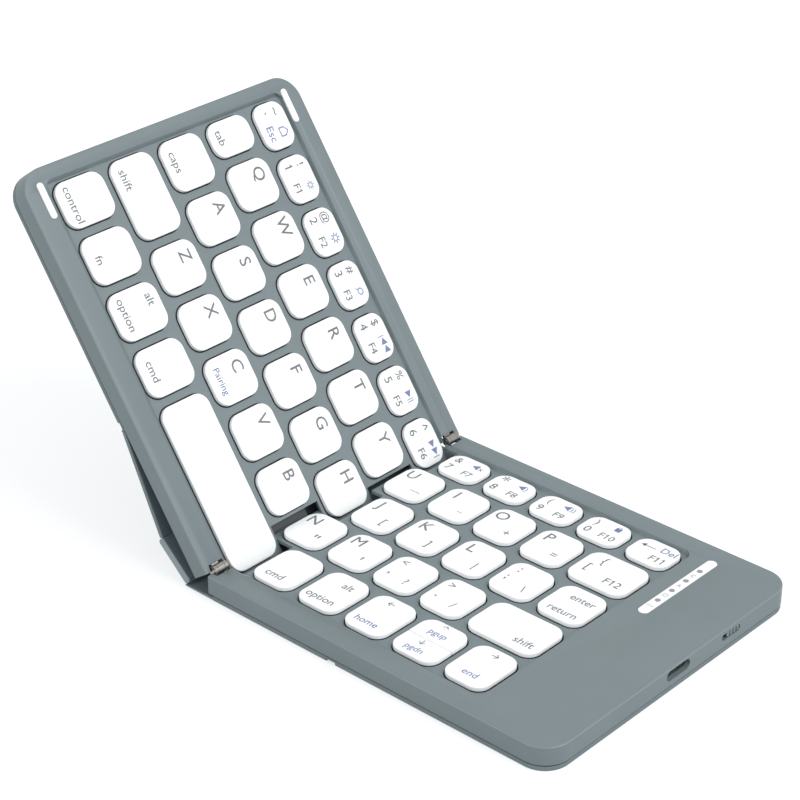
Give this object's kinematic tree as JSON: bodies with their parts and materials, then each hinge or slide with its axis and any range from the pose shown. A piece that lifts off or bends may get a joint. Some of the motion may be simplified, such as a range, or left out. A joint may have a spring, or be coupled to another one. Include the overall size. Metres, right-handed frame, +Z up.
{
  "type": "folding keyboard",
  "caption": "Folding keyboard with hinged halves, split key rows, a power switch, a charging port and a wrap-round cover with a loose flap.",
  "frame": {"origin": "middle of the right half's underside, which rests on the table", "axes": "+X from the hinge to the end with the charging port, +Y from the typist to the far side, +Z up"},
  "size_m": [0.1991, 0.1078, 0.1081],
  "materials": {
    "housing_abs": "fine satin moulded ABS, slate grey",
    "cover_skin": "smooth coated skin, slate grey",
    "spine_trim": "smooth coated skin, lighter slate grey",
    "key_board": "printed circuit board",
    "dome_silicone": "dark grey silicone",
    "hinge_steel": "nickel-plated steel",
    "screw_steel": "zinc-plated steel",
    "battery_wrap": "aluminium-laminate pouch",
    "socket_steel": "drawn stainless steel",
    "switch_plastic": "black moulded plastic",
    "window_acrylic": "white light diffuser",
    "led_epoxy": "clear epoxy",
    "flex_polyimide": "polyimide film under black coverlay",
    "bumper_rubber": "white silicone rubber",
    "keycap_abs": "white satin ABS"
  },
  "bodies": {
    "right_half": {"right_deck": "housing_abs", "right_bottom_plate": "housing_abs", "right_cover": "cover_skin", "right_key_board": "key_board", "right_dome_sheet": "dome_silicone", "right_hinge_leaves": "hinge_steel", "hinge_pins": "hinge_steel", "right_screws": "screw_steel", "battery": "battery_wrap", "main_board": "key_board", "usb_socket": "socket_steel", "power_switch_body": "switch_plastic", "indicator_window": "window_acrylic", "indicator_leds": "led_epoxy", "hinge_flex_cable": "flex_polyimide", "cover_film": "cover_skin"},
    "left_half": {"left_deck": "housing_abs", "left_bottom_plate": "housing_abs", "left_cover": "cover_skin", "left_key_board": "key_board", "left_dome_sheet": "dome_silicone", "left_hinge_leaves": "hinge_steel", "left_screws": "screw_steel", "bumper_strips": "bumper_rubber"},
    "cover_flap": {"cover_flap": "cover_skin"},
    "spine_strip": {"spine_strip": "spine_trim"},
    "power_switch": {"power_switch_knob": "housing_abs"},
    "space_key": {"space_key": "keycap_abs", "space_stabiliser": "screw_steel"},
    "left_modifier_keys": {"left_modifier_keys": "keycap_abs"},
    "left_lower_letter_keys": {"left_lower_letter_keys": "keycap_abs"},
    "left_home_letter_keys": {"left_home_letter_keys": "keycap_abs"},
    "left_upper_letter_keys": {"left_upper_letter_keys": "keycap_abs"},
    "left_number_keys": {"left_number_keys": "keycap_abs"},
    "key_command_right": {"key_command_right": "keycap_abs"},
    "key_option_right": {"key_option_right": "keycap_abs"},
    "key_home": {"key_home": "keycap_abs"},
    "key_page_down": {"key_page_down": "keycap_abs"},
    "key_page_up": {"key_page_up": "keycap_abs"},
    "key_end": {"key_end": "keycap_abs"},
    "key_n": {"key_n": "keycap_abs"},
    "key_m": {"key_m": "keycap_abs"},
    "key_comma": {"key_comma": "keycap_abs"},
    "key_period": {"key_period": "keycap_abs"},
    "key_shift_right": {"key_shift_right": "keycap_abs"},
    "key_j": {"key_j": "keycap_abs"},
    "key_k": {"key_k": "keycap_abs"},
    "key_l": {"key_l": "keycap_abs"},
    "key_semicolon": {"key_semicolon": "keycap_abs"},
    "key_enter": {"key_enter": "keycap_abs"},
    "key_u": {"key_u": "keycap_abs"},
    "key_i": {"key_i": "keycap_abs"},
    "key_o": {"key_o": "keycap_abs"},
    "key_p": {"key_p": "keycap_abs"},
    "key_bracket": {"key_bracket": "keycap_abs"},
    "key_7": {"key_7": "keycap_abs"},
    "key_8": {"key_8": "keycap_abs"},
    "key_9": {"key_9": "keycap_abs"},
    "key_0": {"key_0": "keycap_abs"},
    "key_delete": {"key_delete": "keycap_abs"}
  },
  "joints": [
    {"name": "fold", "type": "hinge", "parent": "right_half", "child": "left_half", "pos_m": [-0.0612, 0, 0.008], "axis": [0, 1, 0], "range_deg": [-55.03, 124.97], "deforming": ["hinge_flex_cable", "cover_film"]},
    {"name": "flap_swing", "type": "hinge", "parent": "left_half", "child": "cover_flap", "pos_m": [-0.09326, 0, 0.0411], "axis": [0, 1, 0], "range_deg": [-9.8, 0]},
    {"name": "spine_bend", "type": "hinge", "parent": "cover_flap", "child": "spine_strip", "pos_m": [-0.07985, 0, 0.01205], "axis": [0, 1, 0], "range_deg": [0, 22.01]},
    {"name": "power_switch_slide", "type": "slide", "parent": "right_half", "child": "power_switch", "axis": [0, -1, 0], "range_m": [0, 0.0024]},
    {"name": "press_space_key", "type": "slide", "parent": "left_half", "child": "space_key", "axis": [-0.8195, 0, -0.5731], "range_m": [0, 0.0015], "stiffness_N_per_m": 100, "springref_m": -0.002, "deforming": ["left_dome_sheet"]},
    {"name": "press_left_modifier_keys", "type": "slide", "parent": "left_half", "child": "left_modifier_keys", "axis": [-0.8195, 0, -0.5731], "range_m": [0, 0.0015], "stiffness_N_per_m": 300, "springref_m": -0.002, "deforming": ["left_dome_sheet"]},
    {"name": "press_left_lower_letter_keys", "type": "slide", "parent": "left_half", "child": "left_lower_letter_keys", "axis": [-0.8195, 0, -0.5731], "range_m": [0, 0.0015], "stiffness_N_per_m": 300, "springref_m": -0.002, "deforming": ["left_dome_sheet"]},
    {"name": "press_left_home_letter_keys", "type": "slide", "parent": "left_half", "child": "left_home_letter_keys", "axis": [-0.8195, 0, -0.5731], "range_m": [0, 0.0015], "stiffness_N_per_m": 300, "springref_m": -0.002, "deforming": ["left_dome_sheet"]},
    {"name": "press_left_upper_letter_keys", "type": "slide", "parent": "left_half", "child": "left_upper_letter_keys", "axis": [-0.8195, 0, -0.5731], "range_m": [0, 0.0015], "stiffness_N_per_m": 300, "springref_m": -0.002, "deforming": ["left_dome_sheet"]},
    {"name": "press_left_number_keys", "type": "slide", "parent": "left_half", "child": "left_number_keys", "axis": [-0.8195, 0, -0.5731], "range_m": [0, 0.0015], "stiffness_N_per_m": 300, "springref_m": -0.002, "deforming": ["left_dome_sheet"]},
    {"name": "press_command_right", "type": "slide", "parent": "right_half", "child": "key_command_right", "axis": [0, 0, -1], "range_m": [0, 0.0015], "stiffness_N_per_m": 100, "springref_m": -0.002, "deforming": ["right_dome_sheet"]},
    {"name": "press_option_right", "type": "slide", "parent": "right_half", "child": "key_option_right", "axis": [0, 0, -1], "range_m": [0, 0.0015], "stiffness_N_per_m": 100, "springref_m": -0.002, "deforming": ["right_dome_sheet"]},
    {"name": "press_home", "type": "slide", "parent": "right_half", "child": "key_home", "axis": [0, 0, -1], "range_m": [0, 0.0015], "stiffness_N_per_m": 100, "springref_m": -0.002, "deforming": ["right_dome_sheet"]},
    {"name": "press_page_down", "type": "slide", "parent": "right_half", "child": "key_page_down", "axis": [0, 0, -1], "range_m": [0, 0.0015], "stiffness_N_per_m": 100, "springref_m": -0.002, "deforming": ["right_dome_sheet"]},
    {"name": "press_page_up", "type": "slide", "parent": "right_half", "child": "key_page_up", "axis": [0, 0, -1], "range_m": [0, 0.0015], "stiffness_N_per_m": 100, "springref_m": -0.002, "deforming": ["right_dome_sheet"]},
    {"name": "press_end", "type": "slide", "parent": "right_half", "child": "key_end", "axis": [0, 0, -1], "range_m": [0, 0.0015], "stiffness_N_per_m": 100, "springref_m": -0.002, "deforming": ["right_dome_sheet"]},
    {"name": "press_n", "type": "slide", "parent": "right_half", "child": "key_n", "axis": [0, 0, -1], "range_m": [0, 0.0015], "stiffness_N_per_m": 100, "springref_m": -0.002, "deforming": ["right_dome_sheet"]},
    {"name": "press_m", "type": "slide", "parent": "right_half", "child": "key_m", "axis": [0, 0, -1], "range_m": [0, 0.0015], "stiffness_N_per_m": 100, "springref_m": -0.002, "deforming": ["right_dome_sheet"]},
    {"name": "press_comma", "type": "slide", "parent": "right_half", "child": "key_comma", "axis": [0, 0, -1], "range_m": [0, 0.0015], "stiffness_N_per_m": 100, "springref_m": -0.002, "deforming": ["right_dome_sheet"]},
    {"name": "press_period", "type": "slide", "parent": "right_half", "child": "key_period", "axis": [0, 0, -1], "range_m": [0, 0.0015], "stiffness_N_per_m": 100, "springref_m": -0.002, "deforming": ["right_dome_sheet"]},
    {"name": "press_shift_right", "type": "slide", "parent": "right_half", "child": "key_shift_right", "axis": [0, 0, -1], "range_m": [0, 0.0015], "stiffness_N_per_m": 100, "springref_m": -0.002, "deforming": ["right_dome_sheet"]},
    {"name": "press_j", "type": "slide", "parent": "right_half", "child": "key_j", "axis": [0, 0, -1], "range_m": [0, 0.0015], "stiffness_N_per_m": 100, "springref_m": -0.002, "deforming": ["right_dome_sheet"]},
    {"name": "press_k", "type": "slide", "parent": "right_half", "child": "key_k", "axis": [0, 0, -1], "range_m": [0, 0.0015], "stiffness_N_per_m": 100, "springref_m": -0.002, "deforming": ["right_dome_sheet"]},
    {"name": "press_l", "type": "slide", "parent": "right_half", "child": "key_l", "axis": [0, 0, -1], "range_m": [0, 0.0015], "stiffness_N_per_m": 100, "springref_m": -0.002, "deforming": ["right_dome_sheet"]},
    {"name": "press_semicolon", "type": "slide", "parent": "right_half", "child": "key_semicolon", "axis": [0, 0, -1], "range_m": [0, 0.0015], "stiffness_N_per_m": 100, "springref_m": -0.002, "deforming": ["right_dome_sheet"]},
    {"name": "press_enter", "type": "slide", "parent": "right_half", "child": "key_enter", "axis": [0, 0, -1], "range_m": [0, 0.0015], "stiffness_N_per_m": 100, "springref_m": -0.002, "deforming": ["right_dome_sheet"]},
    {"name": "press_u", "type": "slide", "parent": "right_half", "child": "key_u", "axis": [0, 0, -1], "range_m": [0, 0.0015], "stiffness_N_per_m": 100, "springref_m": -0.002, "deforming": ["right_dome_sheet"]},
    {"name": "press_i", "type": "slide", "parent": "right_half", "child": "key_i", "axis": [0, 0, -1], "range_m": [0, 0.0015], "stiffness_N_per_m": 100, "springref_m": -0.002, "deforming": ["right_dome_sheet"]},
    {"name": "press_o", "type": "slide", "parent": "right_half", "child": "key_o", "axis": [0, 0, -1], "range_m": [0, 0.0015], "stiffness_N_per_m": 100, "springref_m": -0.002, "deforming": ["right_dome_sheet"]},
    {"name": "press_p", "type": "slide", "parent": "right_half", "child": "key_p", "axis": [0, 0, -1], "range_m": [0, 0.0015], "stiffness_N_per_m": 100, "springref_m": -0.002, "deforming": ["right_dome_sheet"]},
    {"name": "press_bracket", "type": "slide", "parent": "right_half", "child": "key_bracket", "axis": [0, 0, -1], "range_m": [0, 0.0015], "stiffness_N_per_m": 100, "springref_m": -0.002, "deforming": ["right_dome_sheet"]},
    {"name": "press_7", "type": "slide", "parent": "right_half", "child": "key_7", "axis": [0, 0, -1], "range_m": [0, 0.0015], "stiffness_N_per_m": 100, "springref_m": -0.002, "deforming": ["right_dome_sheet"]},
    {"name": "press_8", "type": "slide", "parent": "right_half", "child": "key_8", "axis": [0, 0, -1], "range_m": [0, 0.0015], "stiffness_N_per_m": 100, "springref_m": -0.002, "deforming": ["right_dome_sheet"]},
    {"name": "press_9", "type": "slide", "parent": "right_half", "child": "key_9", "axis": [0, 0, -1], "range_m": [0, 0.0015], "stiffness_N_per_m": 100, "springref_m": -0.002, "deforming": ["right_dome_sheet"]},
    {"name": "press_0", "type": "slide", "parent": "right_half", "child": "key_0", "axis": [0, 0, -1], "range_m": [0, 0.0015], "stiffness_N_per_m": 100, "springref_m": -0.002, "deforming": ["right_dome_sheet"]},
    {"name": "press_delete", "type": "slide", "parent": "right_half", "child": "key_delete", "axis": [0, 0, -1], "range_m": [0, 0.0015], "stiffness_N_per_m": 100, "springref_m": -0.002, "deforming": ["right_dome_sheet"]}
  ],
  "couplings": [
    {"joint": "spine_bend", "follows": "flap_swing", "ratio": -2.2451}
  ]
}
